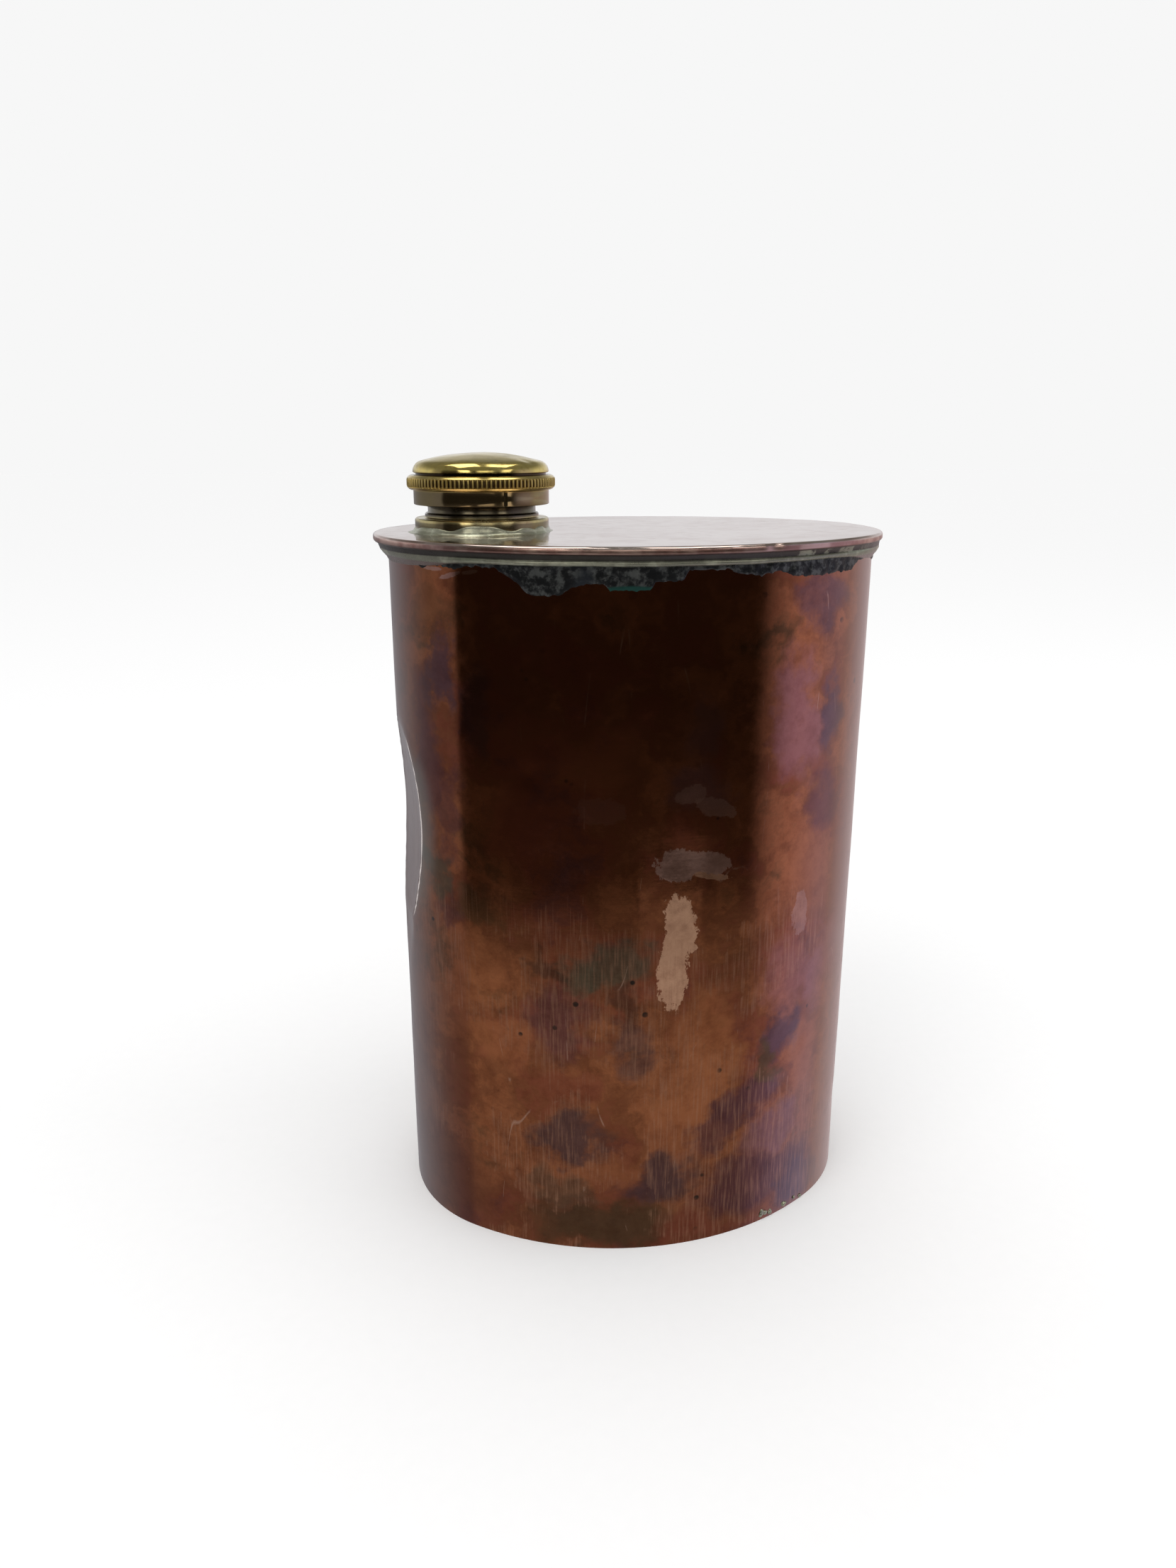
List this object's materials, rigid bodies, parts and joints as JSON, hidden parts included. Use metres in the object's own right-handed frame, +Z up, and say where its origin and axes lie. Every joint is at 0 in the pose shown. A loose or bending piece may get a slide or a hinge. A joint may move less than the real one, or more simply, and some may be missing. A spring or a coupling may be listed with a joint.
{
  "type": "oil can",
  "caption": "Tall oval copper oil can with a folded and soldered top rim, a lapped back seam, and an off-centre threaded brass neck closed by a milled brass screw cap with a domed crown.",
  "frame": {"origin": "middle of the oval base, in the plane of the base edge that the can stands on", "axes": "+Z up, along the can's height; +X along the long axis of the oval, with the filler neck at the -X end; +Y towards the back, where the wall's lapped seam is"},
  "size_m": [0.115, 0.087, 0.1792],
  "materials": {
    "body_copper": "tarnished copper, worn polish with fine vertical brushing",
    "top_copper": "polished copper with brown stains",
    "solder": "dull soft solder",
    "neck_brass": "dull turned brass",
    "cap_brass": "polished brass, milled grip",
    "leather": "oiled leather"
  },
  "bodies": {
    "can": {"body_wall": "body_copper", "seam_solder": "solder", "top_plate": "top_copper", "rim_solder": "solder", "bottom_plate": "body_copper", "base_solder": "solder", "filler_neck": "neck_brass", "neck_solder": "solder"},
    "seal": {"cap_washer": "leather"},
    "cap": {"cap_collar": "cap_brass", "cap_dome": "cap_brass"}
  },
  "joints": [
    {"name": "cap_rise", "type": "slide", "parent": "can", "child": "seal", "axis": [0, 0, 1], "range_m": [0, 0.0064]},
    {"name": "cap_turn", "type": "hinge", "parent": "seal", "child": "cap", "pos_m": [-0.034, 0, 0.17], "axis": [0, 0, 1], "range_deg": [0, 1440]}
  ],
  "couplings": [
    {"joint": "cap_turn", "follows": "cap_rise", "rad_per_m": 3927}
  ]
}
